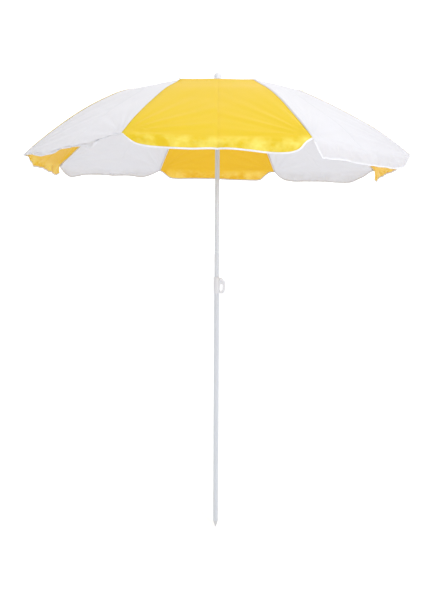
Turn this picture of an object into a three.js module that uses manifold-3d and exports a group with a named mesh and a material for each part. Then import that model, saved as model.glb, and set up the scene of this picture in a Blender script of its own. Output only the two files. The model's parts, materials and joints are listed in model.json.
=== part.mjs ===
// Beach umbrella: a two-part telescopic pole on a ground spike, a clamp collar with a cam lever,
// and an eight-panel canopy on hinged ribs that fold down when the runner slides down the pole.
// Millimetres, +Z up. The origin is the tip of the ground spike, and panel 1 faces -Y.
import * as THREE from "three";
import { mergeVertices } from "three/addons/utils/BufferGeometryUtils.js";
import Module from "manifold-3d";

const wasm = await Module();
wasm.setup();

const DEG = Math.PI / 180;
const CLEAR = 0.3; // the gap between pieces that touch
const EPS = 0.02; // how far a cutter runs past the face it cuts

// Canopy
const PANELS = 8;
const PANEL_ANGLE = (2 * Math.PI) / PANELS;
const PIVOT_RADIUS = 17; // the rings of wire that the ribs and stretchers hang on
const CROWN_Z = 2207.5; // the crown's wire ring
const ARM = 392; // from a rib's crown pivot to its stretcher, and from there to the runner
const INNER_SLOPE = 10.8 * DEG; // a rib's fall from horizontal, from the crown to its stretcher
const RIB_ARCS = [
  { length: ARM, from: INNER_SLOPE, to: INNER_SLOPE },
  { length: 30, from: INNER_SLOPE, to: 25 * DEG },
  { length: 557, from: 25 * DEG, to: 38.6 * DEG },
];
const RIB_LENGTH = RIB_ARCS.reduce((sum, arc) => sum + arc.length, 0);
const RUNNER_Z = CROWN_Z - 2 * ARM * Math.sin(INNER_SLOPE);
const FABRIC_LIFT = 5.4; // from a rib's centre line to the middle of the fabric
const FABRIC_THICK = 1.2;
const FABRIC_START = 13; // along the rib from its pivot
const FLAP_LENGTH = 52; // the loose valance below the rim
const FLAP_SLOPE = 62 * DEG;
const FLAP_CORNER = 78; // how far from a rib tip the flap reaches its full length
const PANEL_SAG = 0.012; // of the radius, halfway between two ribs

// Ribs and stretchers: steel bars
const BAR_HALF = 2; // half of a bar's depth
const BAR_THICK = 3.2;
const EYE_RADIUS = 4.6;
const EYE_HOLE = 1.9;
const WIRE_RADIUS = 1.2;
const FORK_DEPTH = 17;
const FORK_WALL = 1.5;

// Pole
const UPPER_OUTER = 11;
const UPPER_INNER = 10.2;
const UPPER_BOTTOM = 1030;
const UPPER_TOP = 2216;
const LOWER_OUTER = 12.5;
const LOWER_INNER = 11.5;
const SPIKE_LENGTH = 34;
const COLLAR_BOTTOM = 1190;
const COLLAR_TOP = 1271;
const COLLAR_STEP = 1250; // where the collar's bore narrows from the lower to the upper pole
const COLLAR_OUTER = 14.6;
const RIVET_Z = 1206;

// Clamp lever
const LEVER_PIVOT = { x: 20.5, z: 1258.5 };
const LEVER_HEAD = 6.4;
const LEVER_WIDTH = 11;
const GRIP_INNER = 15.4;
const GRIP_OUTER = 40;
const GRIP_BOTTOM = 1191;
const EAR_THICK = 3;
const PIN_RADIUS = 2;

// Runner and its catch
const SLEEVE_RADIUS = 14.6;
const SLEEVE_BELOW = 45; // below the runner's wire ring
const HUB_RADIUS = 22.5;
const CATCH_THICK = 3;

const finish = (color, roughness, metalness) =>
  new THREE.MeshStandardMaterial({ color, roughness, metalness, side: THREE.DoubleSide });
const MATERIALS = {
  poleSteel: finish(0xd7d9de, 0.35, 0.3),
  wireSteel: finish(0xb9bcc0, 0.35, 0.8),
  whitePlastic: finish(0xf0f1f4, 0.45, 0),
  greyPlastic: finish(0xced0d4, 0.5, 0),
  yellowFabric: finish(0xf7d64b, 0.8, 0),
  whiteFabric: finish(0xf1f2f6, 0.8, 0),
};

const group = new THREE.Group();
group.name = "beach_umbrella";

function add(name, geometry, material) {
  const mesh = new THREE.Mesh(geometry, material);
  mesh.name = name;
  group.add(mesh);
  return mesh;
}

// Turns a mesh made in the XZ plane (X outwards, Y across) so that it stands at an azimuth.
// Azimuth 0 looks along -Y and it grows towards +X.
function place(mesh, azimuth, x = 0, z = 0) {
  mesh.rotation.z = azimuth - Math.PI / 2;
  mesh.position.set(x * Math.sin(azimuth), -x * Math.cos(azimuth), z);
  return mesh;
}

function solidOf(geometry) {
  const bare = new THREE.BufferGeometry();
  bare.setAttribute("position", geometry.getAttribute("position"));
  if (geometry.index) bare.setIndex(geometry.index);
  const merged = mergeVertices(bare, 1e-4);
  return new wasm.Manifold(
    new wasm.Mesh({
      numProp: 3,
      vertProperties: new Float32Array(merged.getAttribute("position").array),
      triVerts: new Uint32Array(merged.index.array),
    }),
  );
}

function geometryOf(solid) {
  const mesh = solid.getMesh();
  const geometry = new THREE.BufferGeometry();
  geometry.setAttribute("position", new THREE.BufferAttribute(mesh.vertProperties, 3));
  geometry.setIndex(new THREE.BufferAttribute(mesh.triVerts, 1));
  geometry.computeVertexNormals();
  return geometry;
}

function cut(geometry, ...cutters) {
  let solid = solidOf(geometry);
  for (const cutter of cutters) solid = solid.subtract(solidOf(cutter));
  return geometryOf(solid);
}

function join(...geometries) {
  return geometryOf(wasm.Manifold.union(geometries.map(solidOf)));
}

// A closed ring or solid of revolution about Z. The profile runs counterclockwise in (radius, z).
function turned(profile, segments = 32) {
  const points = profile.map(([radius, z]) => new THREE.Vector2(radius, z));
  const onAxis = profile[0][0] === 0;
  if (!onAxis) points.push(points[0].clone());
  return new THREE.LatheGeometry(points, segments).rotateX(Math.PI / 2);
}

function tube(outer, inner, bottom, top, segments = 32) {
  return turned([[inner, bottom], [outer, bottom], [outer, top], [inner, top]], segments);
}

function box(x, y, z, width, depth, height) {
  return new THREE.BoxGeometry(width, depth, height).translate(x, y, z);
}

// A pin along Y through (x, z).
function pinY(x, z, radius, length, segments = 16) {
  return new THREE.CylinderGeometry(radius, radius, length, segments).translate(x, 0, z);
}

// A plate in the XZ plane, centred on Y.
function plateXZ(shape, thickness, bevel = 0, curveSegments = 6) {
  const geometry = new THREE.ExtrudeGeometry(shape, {
    depth: thickness - 2 * bevel,
    bevelEnabled: bevel > 0,
    bevelThickness: bevel,
    bevelSize: bevel,
    bevelOffset: -bevel,
    bevelSegments: 1,
    curveSegments,
  });
  return geometry.translate(0, 0, bevel - thickness / 2).rotateX(Math.PI / 2);
}

// The rib's centre line: arcs whose slope changes evenly. s runs from the crown pivot.
function ribPoint(s, lift = 0) {
  let r = 0;
  let z = 0;
  let slope = RIB_ARCS[0].from;
  let left = s;
  for (const arc of RIB_ARCS) {
    const run = Math.min(left, arc.length);
    const bend = (arc.to - arc.from) / arc.length;
    slope = arc.from + bend * run;
    if (bend === 0) {
      r += run * Math.cos(slope);
      z -= run * Math.sin(slope);
    } else {
      r += (Math.sin(slope) - Math.sin(arc.from)) / bend;
      z -= (Math.cos(arc.from) - Math.cos(slope)) / bend;
    }
    left -= run;
    if (left <= 0) break;
  }
  return { x: r + lift * Math.sin(slope), z: z + lift * Math.cos(slope), slope };
}

// Places along the rib where it needs a point.
function ribStations(from, to, outerSteps) {
  const ramp = ARM + RIB_ARCS[1].length;
  const stations = [from];
  for (const s of [ARM, ramp]) if (s > from && s < to) stations.push(s);
  for (let i = 1; i <= outerSteps; i++) stations.push(ramp + ((to - ramp) * i) / outerSteps);
  return stations;
}

// Outline of a bar that follows points (with their slopes), with a round eye at its first end.
function barShape(points, half, eyeRadius) {
  const shape = new THREE.Shape();
  const first = points[0];
  const turn = Math.asin(half / eyeRadius);
  const along = -first.slope;
  const side = (point, sign) => [
    point.x + sign * half * Math.sin(point.slope),
    point.z + sign * half * Math.cos(point.slope),
  ];
  shape.absarc(first.x, first.z, eyeRadius, along + turn, along - turn + 2 * Math.PI, false);
  for (const point of points.slice(1)) shape.lineTo(...side(point, -1));
  for (const point of points.slice(1).reverse()) shape.lineTo(...side(point, 1));
  shape.closePath();
  return shape;
}

function eyeHole(shape, x, z, radius) {
  const hole = new THREE.Path();
  hole.absarc(x, z, radius, 0, 2 * Math.PI, true);
  shape.holes.push(hole);
}

function ribGeometry() {
  const points = ribStations(0, RIB_LENGTH - 4, 7).map((s) => ribPoint(s));
  const shape = barShape(points, BAR_HALF, EYE_RADIUS);
  eyeHole(shape, 0, 0, EYE_HOLE);
  const bar = plateXZ(shape, BAR_THICK);
  const pivot = ribPoint(ARM);
  const lug = new THREE.Shape();
  lug.absarc(pivot.x, pivot.z, EYE_RADIUS - 0.6, 0, 2 * Math.PI, false);
  return cut(
    join(bar, plateXZ(lug, BAR_THICK)),
    pinY(pivot.x, pivot.z, EYE_HOLE, BAR_THICK * 2),
  );
}

// A plastic cap on the end of a rib.
function ribTipGeometry() {
  const end = ribPoint(RIB_LENGTH - 4);
  const cap = turned(
    [[0, -12], [2.9, -12], [3.3, -9], [3.3, 3], [2.2, 5.2], [0, 5.8]],
    8,
  );
  cap.rotateY(Math.PI / 2 + end.slope).translate(end.x, 0, end.z);
  const back = ribPoint(RIB_LENGTH - 20);
  const socket = new THREE.Shape();
  const half = BAR_HALF + CLEAR;
  const reach = 0.4;
  const tip = ribPoint(RIB_LENGTH - 4 + reach);
  socket.moveTo(back.x - half * Math.sin(back.slope), back.z - half * Math.cos(back.slope));
  socket.lineTo(tip.x - half * Math.sin(tip.slope), tip.z - half * Math.cos(tip.slope));
  socket.lineTo(tip.x + half * Math.sin(tip.slope), tip.z + half * Math.cos(tip.slope));
  socket.lineTo(back.x + half * Math.sin(back.slope), back.z + half * Math.cos(back.slope));
  return cut(cap, plateXZ(socket, BAR_THICK + 2 * CLEAR));
}

// A stretcher in its own frame: the runner eye at the origin, the rib's rivet at x = ARM.
function stretcherGeometry() {
  const forkHalf = BAR_THICK / 2 + CLEAR + FORK_WALL;
  const shape = barShape(
    [{ x: 0, z: 0, slope: 0 }, { x: ARM - FORK_DEPTH - 3, z: 0, slope: 0 }],
    BAR_HALF,
    EYE_RADIUS,
  );
  eyeHole(shape, 0, 0, EYE_HOLE);
  const fork = new THREE.Shape();
  fork.moveTo(ARM - FORK_DEPTH - 9, -BAR_HALF);
  fork.lineTo(ARM, -3.4);
  fork.absarc(ARM, 0, 3.4, -Math.PI / 2, Math.PI / 2, false);
  fork.lineTo(ARM - FORK_DEPTH - 9, BAR_HALF);
  const slot = box(ARM, 0, 0, 2 * FORK_DEPTH, BAR_THICK + 2 * CLEAR, 20);
  const cheeks = cut(plateXZ(fork, 2 * forkHalf), slot);
  const rivet = pinY(ARM, 0, EYE_HOLE - CLEAR, 2 * forkHalf + 1.6, 10);
  return join(plateXZ(shape, BAR_THICK), cheeks, rivet);
}

// One half of a panel, from its rib (v = 0) to the middle between two ribs (v = 1).
// u runs from the crown to the rim and on over the flap.
const HALF_ANGLE = PANEL_ANGLE / 2;
const FLAP_U = 0.8;

function rimPoint(s, v) {
  const rib = ribPoint(s, FABRIC_LIFT);
  const radius = PIVOT_RADIUS + rib.x;
  const sag = PANEL_SAG * radius * Math.sin((v * Math.PI) / 2) ** 2;
  return new THREE.Vector3(
    radius * (1 - v * Math.sin(HALF_ANGLE) ** 2) - sag * Math.sin(rib.slope),
    radius * v * Math.sin(HALF_ANGLE) * Math.cos(HALF_ANGLE),
    CROWN_Z + rib.z - sag * Math.cos(rib.slope),
  );
}

function panelPoint(u, v) {
  if (u <= FLAP_U) {
    const t = u / FLAP_U;
    return rimPoint(FABRIC_START + (RIB_LENGTH - FABRIC_START) * t, v);
  }
  const rim = rimPoint(RIB_LENGTH, v);
  const near = Math.min(1, rim.y / FLAP_CORNER);
  const length = 5 + (FLAP_LENGTH - 5) * Math.sin((near * Math.PI) / 2);
  const along = ((u - FLAP_U) / (1 - FLAP_U)) * length;
  return rim.add(
    new THREE.Vector3(
      along * Math.cos(FLAP_SLOPE) * Math.cos(HALF_ANGLE),
      along * Math.cos(FLAP_SLOPE) * Math.sin(HALF_ANGLE),
      -along * Math.sin(FLAP_SLOPE),
    ),
  );
}

function halfPanelGeometry() {
  const columns = 12;
  const rows = 3;
  const geometry = new THREE.BoxGeometry(1, 1, 1, columns, rows, 1);
  const position = geometry.getAttribute("position");
  const elbow = (FLAP_U * (ARM - FABRIC_START)) / (RIB_LENGTH - FABRIC_START);
  const bend = [elbow, elbow + 0.015, elbow + 0.05];
  const stations = [0, elbow / 2, ...bend, 0.45, 0.54, 0.63, 0.72, 0.8, 0.87, 0.94, 1];
  const spread = [0, 0.12, 0.4, 1];
  const step = 1e-3;
  for (let i = 0; i < position.count; i++) {
    const u = stations[Math.round((position.getX(i) + 0.5) * columns)];
    const v = spread[Math.round((position.getY(i) + 0.5) * rows)];
    const at = panelPoint(u, v);
    const du = panelPoint(Math.min(1, u + step), v).sub(panelPoint(Math.max(0, u - step), v));
    const dv = panelPoint(u, Math.min(1, v + step)).sub(panelPoint(u, Math.max(0, v - step)));
    const normal = du.cross(dv).normalize();
    at.addScaledVector(normal, position.getZ(i) * FABRIC_THICK);
    // The edges stop just short of the rib's plane and of the middle of the panel.
    const middle = Math.tan(HALF_ANGLE) * at.x - CLEAR;
    at.y = THREE.MathUtils.clamp(at.y, CLEAR, middle);
    if (v === 0) at.y = CLEAR;
    if (v === 1) at.y = middle;
    position.setXYZ(i, at.x, at.y, at.z);
  }
  geometry.computeVertexNormals();
  return geometry;
}

// The hub that eight bars hang in: slots for their eyes and a channel for the ring of wire.
function slottedHub(bottom, top, slotBottom, slotTop) {
  const shell = turned([
    [UPPER_OUTER + CLEAR, bottom],
    [HUB_RADIUS - 1, bottom],
    [HUB_RADIUS, bottom + 1],
    [HUB_RADIUS, top - 1],
    [HUB_RADIUS - 1, top],
    [UPPER_OUTER + CLEAR, top],
  ]);
  const channel = WIRE_RADIUS + CLEAR;
  const ring = tube(PIVOT_RADIUS + channel, PIVOT_RADIUS - channel, -channel, channel, 48);
  const slots = [];
  for (let i = 0; i < PANELS; i++) {
    const slot = box(22, 0, (slotBottom + slotTop) / 2, 20, BAR_THICK + 1, slotTop - slotBottom);
    slots.push(slot.rotateZ((i + 0.5) * PANEL_ANGLE - Math.PI / 2));
  }
  return cut(shell, ring, ...slots);
}

function addPole() {
  const rivetHole = pinY(0, RIVET_Z, 1.9, 20).translate(0, LOWER_OUTER + 5, 0);
  add(
    "lower_pole",
    cut(tube(LOWER_OUTER, LOWER_INNER, SPIKE_LENGTH + CLEAR, COLLAR_STEP - CLEAR), rivetHole),
    MATERIALS.poleSteel,
  );
  add(
    "ground_spike",
    turned([
      [0, 0],
      [1.2, 0.4],
      [12.1, SPIKE_LENGTH - 3],
      [12.1, SPIKE_LENGTH],
      [LOWER_INNER - CLEAR, SPIKE_LENGTH],
      [LOWER_INNER - CLEAR, SPIKE_LENGTH + 38],
      [9, SPIKE_LENGTH + 40],
      [0, SPIKE_LENGTH + 40],
    ]),
    MATERIALS.greyPlastic,
  );
  const window = box(UPPER_OUTER, 0, RUNNER_Z - SLEEVE_BELOW - 13, 12, CATCH_THICK + 1, 34);
  add(
    "upper_pole",
    cut(tube(UPPER_OUTER, UPPER_INNER, UPPER_BOTTOM, UPPER_TOP), window),
    MATERIALS.poleSteel,
  );
  add(
    "upper_pole_bush",
    turned([
      [0, UPPER_BOTTOM - 14],
      [10.4, UPPER_BOTTOM - 14],
      [LOWER_INNER - CLEAR, UPPER_BOTTOM - 12],
      [LOWER_INNER - CLEAR, UPPER_BOTTOM - CLEAR],
      [UPPER_INNER - CLEAR, UPPER_BOTTOM - CLEAR],
      [UPPER_INNER - CLEAR, UPPER_BOTTOM + 16],
      [0, UPPER_BOTTOM + 16],
    ]),
    MATERIALS.greyPlastic,
  );
}

function collarGeometry() {
  const lowerBore = LOWER_OUTER + CLEAR;
  const upperBore = UPPER_OUTER + CLEAR;
  const shell = turned([
    [lowerBore, COLLAR_BOTTOM],
    [COLLAR_OUTER - 0.8, COLLAR_BOTTOM],
    [COLLAR_OUTER, COLLAR_BOTTOM + 0.8],
    [COLLAR_OUTER, COLLAR_TOP - 2],
    [COLLAR_OUTER - 2, COLLAR_TOP],
    [upperBore, COLLAR_TOP],
    [upperBore, COLLAR_STEP],
    [lowerBore, COLLAR_STEP],
  ]);
  const earWidth = LEVER_WIDTH + 2 * CLEAR + 2 * EAR_THICK;
  const ear = new THREE.Shape();
  ear.moveTo(12.6, LEVER_PIVOT.z - 12);
  ear.lineTo(LEVER_PIVOT.x + 2, LEVER_PIVOT.z - 5);
  ear.absarc(LEVER_PIVOT.x, LEVER_PIVOT.z, 5, -Math.PI / 4, Math.PI / 2, false);
  ear.lineTo(12.6, LEVER_PIVOT.z + 7);
  ear.closePath();
  const ears = cut(plateXZ(ear, earWidth), tube(upperBore + 0.5, 0, 1200, 1300));
  const leverRoom = box(28.4, 0, LEVER_PIVOT.z, 29.3, LEVER_WIDTH + 2 * CLEAR, 40);
  const padRoom = box(14, 0, LEVER_PIVOT.z, 10, 7 + 2 * CLEAR, 8 + 2 * CLEAR);
  return cut(
    join(shell, ears),
    leverRoom,
    padRoom,
    pinY(LEVER_PIVOT.x, LEVER_PIVOT.z, PIN_RADIUS + CLEAR, 40),
    pinY(0, RIVET_Z, 1.9, 20).translate(0, LOWER_OUTER + 5, 0),
  );
}

// A flat D-shaped grip with a round head on the pin and a finger hole.
function leverGeometry() {
  const { x, z } = LEVER_PIVOT;
  const shape = new THREE.Shape();
  shape.absarc(x, z, LEVER_HEAD, Math.PI, Math.PI / 4, true);
  shape.lineTo(GRIP_OUTER - 3, z - 7.5);
  shape.quadraticCurveTo(GRIP_OUTER, z - 10.5, GRIP_OUTER, z - 15);
  shape.lineTo(GRIP_OUTER, GRIP_BOTTOM + 20);
  shape.bezierCurveTo(GRIP_OUTER, GRIP_BOTTOM + 7, 33, GRIP_BOTTOM, 25, GRIP_BOTTOM);
  shape.lineTo(18, GRIP_BOTTOM);
  shape.quadraticCurveTo(GRIP_INNER, GRIP_BOTTOM, GRIP_INNER, GRIP_BOTTOM + 3);
  shape.lineTo(GRIP_INNER, GRIP_BOTTOM + 10);
  shape.lineTo(22, GRIP_BOTTOM + 11.5);
  shape.quadraticCurveTo(29.5, GRIP_BOTTOM + 13, 29.5, GRIP_BOTTOM + 20);
  shape.lineTo(29.5, z - 29);
  shape.quadraticCurveTo(29.5, z - 24, 24, z - 24);
  shape.lineTo(GRIP_INNER, z - 23);
  shape.lineTo(x - LEVER_HEAD, z - 6);
  shape.closePath();
  return cut(
    plateXZ(shape, LEVER_WIDTH, 1.2, 8),
    pinY(x, z, PIN_RADIUS + CLEAR, 30),
  );
}

function addCollar() {
  const { x, z } = LEVER_PIVOT;
  add("height_collar", collarGeometry(), MATERIALS.whitePlastic);
  add("clamp_lever", leverGeometry(), MATERIALS.whitePlastic);
  const pinLength = LEVER_WIDTH + 2 * CLEAR + 2 * EAR_THICK + 0.8;
  add("clamp_lever_pin", pinY(x, z, PIN_RADIUS, pinLength), MATERIALS.wireSteel);
  add("clamp_pad", box(12.6, 0, z, 1.6, 7, 8), MATERIALS.greyPlastic);
  const rivet = turned([[0, 0], [1.6, 0], [1.6, 3.6], [3.4, 3.6], [2.4, 5], [0, 5.2]], 16);
  rivet.rotateX(-Math.PI / 2).translate(0, UPPER_OUTER + CLEAR, RIVET_Z);
  add("collar_rivet", rivet, MATERIALS.wireSteel);
}

function addCrown() {
  const hub = slottedHub(-9, 6.5, -20, 5.2).translate(0, 0, CROWN_Z);
  add("crown", hub, MATERIALS.whitePlastic);
  const wire = new THREE.TorusGeometry(PIVOT_RADIUS, WIRE_RADIUS, 6, 32);
  add("crown_wire", wire, MATERIALS.wireSteel).position.z = CROWN_Z;
  add(
    "crown_patch",
    turned([
      [UPPER_OUTER + CLEAR, UPPER_TOP - 0.6],
      [26, UPPER_TOP - 0.8],
      [50, UPPER_TOP - 6.2],
      [50.4, UPPER_TOP - 5],
      [26, UPPER_TOP + 0.6],
      [UPPER_OUTER + CLEAR, UPPER_TOP + 0.9],
    ]),
    MATERIALS.whiteFabric,
  );
  const base = UPPER_TOP + 1.3;
  add(
    "finial",
    turned([
      [0, base - 26],
      [UPPER_INNER - CLEAR, base - 26],
      [UPPER_INNER - CLEAR, base],
      [17, base],
      [17.5, base + 1.5],
      [17.2, base + 12],
      [15, base + 20],
      [10.5, base + 26.5],
      [5, base + 29.6],
      [0, base + 30.5],
    ]),
    MATERIALS.whitePlastic,
  );
}

function addRunner() {
  const hub = slottedHub(-6, 9, -5.2, 20);
  const sleeve = turned([
    [UPPER_OUTER + CLEAR, -SLEEVE_BELOW],
    [SLEEVE_RADIUS - 0.8, -SLEEVE_BELOW],
    [SLEEVE_RADIUS, 0.8 - SLEEVE_BELOW],
    [SLEEVE_RADIUS, -5.5],
    [UPPER_OUTER + CLEAR, -5.5],
  ]);
  const runner = join(hub, sleeve).translate(0, 0, RUNNER_Z);
  add("runner", runner, MATERIALS.whitePlastic);
  const wire = new THREE.TorusGeometry(PIVOT_RADIUS, WIRE_RADIUS, 6, 32);
  add("runner_wire", wire, MATERIALS.wireSteel).position.z = RUNNER_Z;
}

// A strip of spring steel inside the pole whose nose holds the runner up.
function addCatch() {
  const top = RUNNER_Z - SLEEVE_BELOW - CLEAR;
  const shape = new THREE.Shape();
  shape.moveTo(4.5, top - 44);
  shape.lineTo(6.5, top - 44);
  shape.lineTo(6.5, top - 22);
  shape.lineTo(14, top - 4);
  shape.lineTo(14, top);
  shape.lineTo(8, top);
  shape.lineTo(7, top + 14);
  shape.lineTo(5, top + 14);
  shape.closePath();
  add("runner_catch", plateXZ(shape, CATCH_THICK), MATERIALS.wireSteel);
}

function addCanopy() {
  const rib = ribGeometry();
  const tip = ribTipGeometry();
  const stretcher = stretcherGeometry();
  const half = halfPanelGeometry();
  for (let k = 1; k <= PANELS; k++) {
    const azimuth = (k - 0.5) * PANEL_ANGLE;
    const next = (k % PANELS) + 1;
    const fabric = (panel) => (panel % 2 ? MATERIALS.yellowFabric : MATERIALS.whiteFabric);
    place(add(`rib_${k}`, rib, MATERIALS.wireSteel), azimuth, PIVOT_RADIUS, CROWN_Z);
    place(add(`rib_tip_${k}`, tip, MATERIALS.greyPlastic), azimuth, PIVOT_RADIUS, CROWN_Z);
    const bar = add(`stretcher_${k}`, stretcher, MATERIALS.wireSteel);
    place(bar, azimuth, PIVOT_RADIUS, RUNNER_Z);
    bar.rotation.order = "ZYX";
    bar.rotation.y = -INNER_SLOPE;
    place(add(`panel_${next}_left`, half, fabric(next)), azimuth);
    const right = place(add(`panel_${k}_right`, half, fabric(k)), azimuth);
    right.scale.y = -1;
  }
}

addPole();
addCollar();
addCrown();
addRunner();
addCatch();
addCanopy();

export default group;
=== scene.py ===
"""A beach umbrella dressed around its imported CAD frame. Metres, +Z up, the front panel faces -Y."""

import json
import math

import bmesh
import bpy
import numpy as np
from mathutils import Matrix, Vector, noise


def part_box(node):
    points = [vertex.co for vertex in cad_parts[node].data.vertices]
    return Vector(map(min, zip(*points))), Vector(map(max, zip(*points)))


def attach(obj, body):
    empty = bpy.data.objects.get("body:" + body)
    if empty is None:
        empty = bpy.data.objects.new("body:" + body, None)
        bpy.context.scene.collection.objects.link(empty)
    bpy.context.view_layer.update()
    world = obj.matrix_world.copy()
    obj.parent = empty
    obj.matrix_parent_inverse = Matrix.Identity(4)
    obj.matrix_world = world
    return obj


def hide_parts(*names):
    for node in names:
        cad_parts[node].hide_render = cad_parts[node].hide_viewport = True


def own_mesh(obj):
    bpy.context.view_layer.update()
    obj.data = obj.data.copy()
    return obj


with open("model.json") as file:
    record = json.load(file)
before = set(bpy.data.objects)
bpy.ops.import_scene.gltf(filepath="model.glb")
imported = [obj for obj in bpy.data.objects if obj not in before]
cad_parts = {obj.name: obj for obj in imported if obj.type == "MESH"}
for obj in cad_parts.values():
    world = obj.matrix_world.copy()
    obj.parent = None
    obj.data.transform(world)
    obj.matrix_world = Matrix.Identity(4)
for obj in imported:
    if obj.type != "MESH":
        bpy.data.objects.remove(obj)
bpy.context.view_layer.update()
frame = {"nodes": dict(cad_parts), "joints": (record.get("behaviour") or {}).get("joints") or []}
JOINTS = {joint["name"]: joint for joint in frame["joints"]}
MM = 0.001

# Canopy, from the frame's joints
PANELS = 8
PANEL_ANGLE = 2 * math.pi / PANELS
HALF_ANGLE = PANEL_ANGLE / 2
CROWN_Z = JOINTS["canopy_fold"]["pos_m"][2]
RUNNER_Z = JOINTS["runner_hinge"]["pos_m"][2]
PIVOT_RADIUS = math.hypot(*JOINTS["canopy_fold"]["pos_m"][:2])
ELBOW = JOINTS["stretcher_1_hinge"]["pos_m"]
ELBOW_X = math.hypot(*ELBOW[:2]) - PIVOT_RADIUS
INNER_SLOPE = math.atan2(CROWN_Z - ELBOW[2], ELBOW_X)
ARM = math.hypot(ELBOW_X, CROWN_Z - ELBOW[2])

# The rib's arcs, as in the CAD: length, and the slope at each end
RIB_ARCS = (
    (ARM, INNER_SLOPE, INNER_SLOPE),
    (30 * MM, INNER_SLOPE, math.radians(25)),
    (557 * MM, math.radians(25), math.radians(38.6)),
)
RIB_LENGTH = sum(arc[0] for arc in RIB_ARCS)

# The cloth: how far above the ribs it lies, where it starts, and how far it sags between them, as a
# share of the distance from the pole. Inside the elbow it swells a little instead.
FABRIC_LIFT = 5.4 * MM
FABRIC_START = 13 * MM
PANEL_SAG = 0.012
CROWN_SAG = -0.4
SAG_RUN = 0.25

# The grid of a half panel
SIDES = {-1: "left", 1: "right"}
BODY_ROWS = 84
FLAP_ROWS = 12
SEAM_COLUMNS = np.array([0.0, 1.2, 2.6, 4.0, 4.8, 6.2]) * MM
HALF_COLUMNS = 42

# Wrinkles: how far each kind stands out, and its scale per metre, its pitch or its reach
SWELL_HEIGHT, SWELL_SCALE = 6.0 * MM, 3.6
RIPPLE_HEIGHT, RIPPLE_SCALE = 2.6 * MM, 10.0
FAN_HEIGHT, FAN_REACH = 2.6 * MM, 210 * MM
PUCKER_HEIGHT, PUCKER_PITCH, PUCKER_REACH = 0.6 * MM, 31 * MM, 16 * MM
FOLD_DEPTH, FOLD_WIDTH = 2.2 * MM, 7 * MM

# Each rib's own set, in mm above an even canopy, at shares of its length from the elbow to the tip.
# Ribs 1, 2, 7 and 8 and the other ribs' tips were fitted to the photo by a program, then rounded and
# changed.
SET_AT = (0, 0.04, 0.12, 0.25, 0.45, 0.7, 0.85, 1)
RIB_SET = {
    1: (0, -3, -2, 4, 6, 2, 2, 0),
    2: (0, -3, -4, -4, -3, 1, -1, -6),
    3: (0, 0, 0, -1, -3, -7, -9, -12),
    4: (0, 0, 1, 2, 5, 10, 13, 17),
    5: (0, 0, 1, 2, 6, 12, 16, 21),
    6: (0, 0, 0, 1, 3, 3, 3, 3),
    7: (0, 5, 13, 16, 15, 4, -4, -15),
    8: (0, -5, -4, 1, 2, 8, 12, 12),
}

# The felled seam's lip: its width, its rounded edge and how proud it stands
LIP_WIDTH = 4.0 * MM
LIP_EDGE = 0.8 * MM
LIP_HEIGHT = 0.5 * MM

# How far each seam's lap reaches past its rib, in mm: to the left, from the panel on the rib's right,
# or if negative to the right, from the panel on its left.
SEAM_LAPS = {1: 7, 2: 6, 3: 6, 4: 6, 5: 6, 6: 6, 7: -15, 8: 6}
LAP_LEAST = 2 * MM
LAP_ROOT = 3 * MM
LAP_HEIGHT = 1.1 * MM

# The flaps: their slopes at the rim and at the hem, how far their waves, dents and creases stand out
# in mm, and the length that the stitches and threads run down them
FLAP_SLOPES = (math.radians(50), math.radians(68))
FLAP_WAVE = 4.0
FLAP_DENT = 5.0
FLAP_CREASE = 2.4
FLAP_UV_LENGTH = 50 * MM

# How far a flap's free corners lean out past their ribs, left and right, in mm.
FLAP_LEAN = {3: (0, 72), 7: (62, 0)}

# Each flap's depth in mm at shares of its panel's width, from the left rib to the right one. Mostly
# fitted by a program to points read off the photo, and changed in places.
FLAP_DEPTHS = {
    1: ((0, 5), (0.03, 24), (0.07, 42), (0.12, 50), (0.23, 53), (0.36, 50), (0.5, 45), (0.62, 48),
        (0.75, 60), (0.84, 65), (0.9, 60), (0.935, 48), (0.965, 22), (1, 5)),
    2: ((0, 16), (0.02, 64), (0.07, 77), (0.18, 75), (0.46, 70), (0.65, 71), (0.8, 74), (0.9, 55),
        (0.96, 20), (1, 5)),
    3: ((0, 5), (0.03, 10), (0.2, 24), (0.35, 34), (0.6, 40), (0.72, 42), (0.9, 56), (0.97, 64), (1, 52)),
    4: ((0, 5), (0.04, 14), (0.12, 42), (0.25, 67), (0.35, 64), (0.48, 59), (0.69, 59), (0.84, 60),
        (0.94, 45), (0.98, 24), (1, 5)),
    5: ((0, 5), (0.04, 7), (0.07, 20), (0.12, 53), (0.15, 57), (0.2, 56), (0.3, 52), (0.51, 44),
        (0.72, 47), (0.86, 52), (0.92, 46), (0.97, 18), (1, 5)),
    6: ((0, 4), (0.06, 25), (0.17, 47), (0.31, 38), (0.45, 35), (0.64, 37), (0.77, 46), (0.83, 58),
        (0.88, 64), (0.93, 52), (0.97, 30), (1, 8)),
    7: ((0, 42), (0.04, 52), (0.22, 48), (0.49, 35), (0.66, 35), (0.73, 36), (0.82, 22), (0.91, 5), (1, 4)),
    8: ((0, 4), (0.05, 5), (0.09, 6), (0.15, 15), (0.23, 23), (0.29, 21), (0.35, 15), (0.39, 5),
        (0.47, 4), (0.55, 7), (0.63, 12), (0.69, 22), (0.72, 29), (0.74, 27), (0.76, 12),
        (0.79, 5), (1, 4)),
}

# The binding of the flap's edge
BINDING_WIDTH = 6.0 * MM
BINDING_THICKNESS = 0.7 * MM

# Pole
UPPER_RADIUS = 11 * MM
UPPER_BORE = 10.2 * MM
LOWER_RADIUS = 12.5 * MM
LOWER_BORE = 11.5 * MM
TUBE_LIP = 0.3 * MM
LEVER_X = JOINTS["clamp_lever_hinge"]["pos_m"][0]
LEVER_Z = JOINTS["clamp_lever_hinge"]["pos_m"][2]
LEVER_PIN_HOLE = 2.15 * MM

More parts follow.
